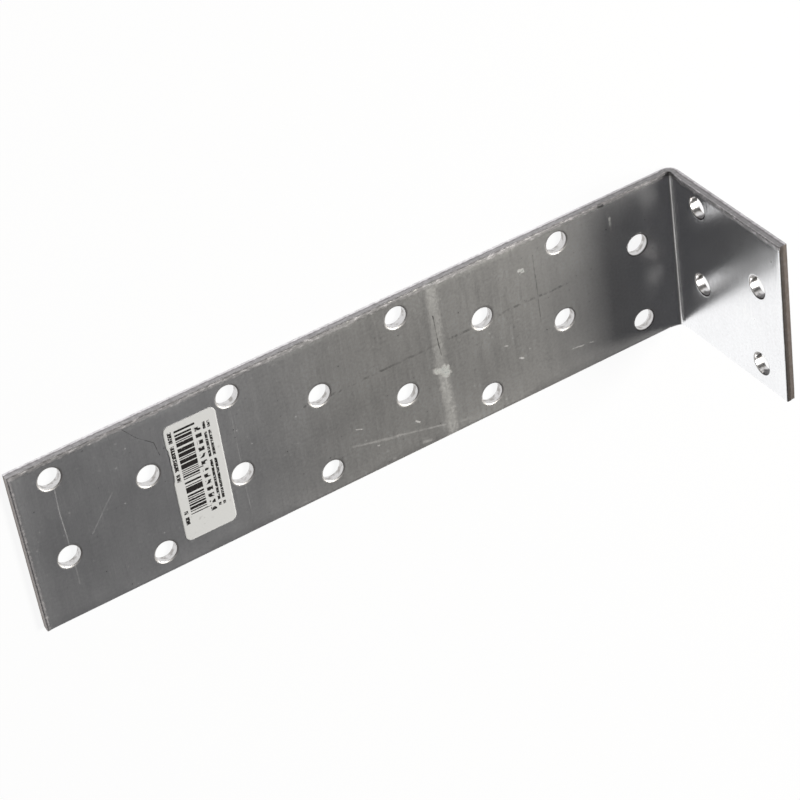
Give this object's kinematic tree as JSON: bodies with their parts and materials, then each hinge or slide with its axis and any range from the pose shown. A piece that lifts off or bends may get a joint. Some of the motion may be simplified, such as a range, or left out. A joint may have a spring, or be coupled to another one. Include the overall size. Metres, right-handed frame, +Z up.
{
  "type": "anchor angle bracket",
  "caption": "Right-angled anchor bracket folded from one strip of zinc-coated steel, with staggered screw holes in a long and a short leg and a plain paper label on the inside.",
  "frame": {"origin": "middle of the long leg's outer face, on which the bracket lies", "axes": "+Z up from the long leg's outer face, along the short leg; +X along the long leg, away from the fold; +Y across the strip"},
  "size_m": [0.16, 0.0408, 0.04],
  "materials": {
    "zinc_coated_steel": "satin zinc coating, with bare steel on the sheared edges",
    "label_paper": "matt white paper"
  },
  "bodies": {
    "root": {"angle_bracket": "zinc_coated_steel", "paper_label": "label_paper"}
  },
  "joints": []
}
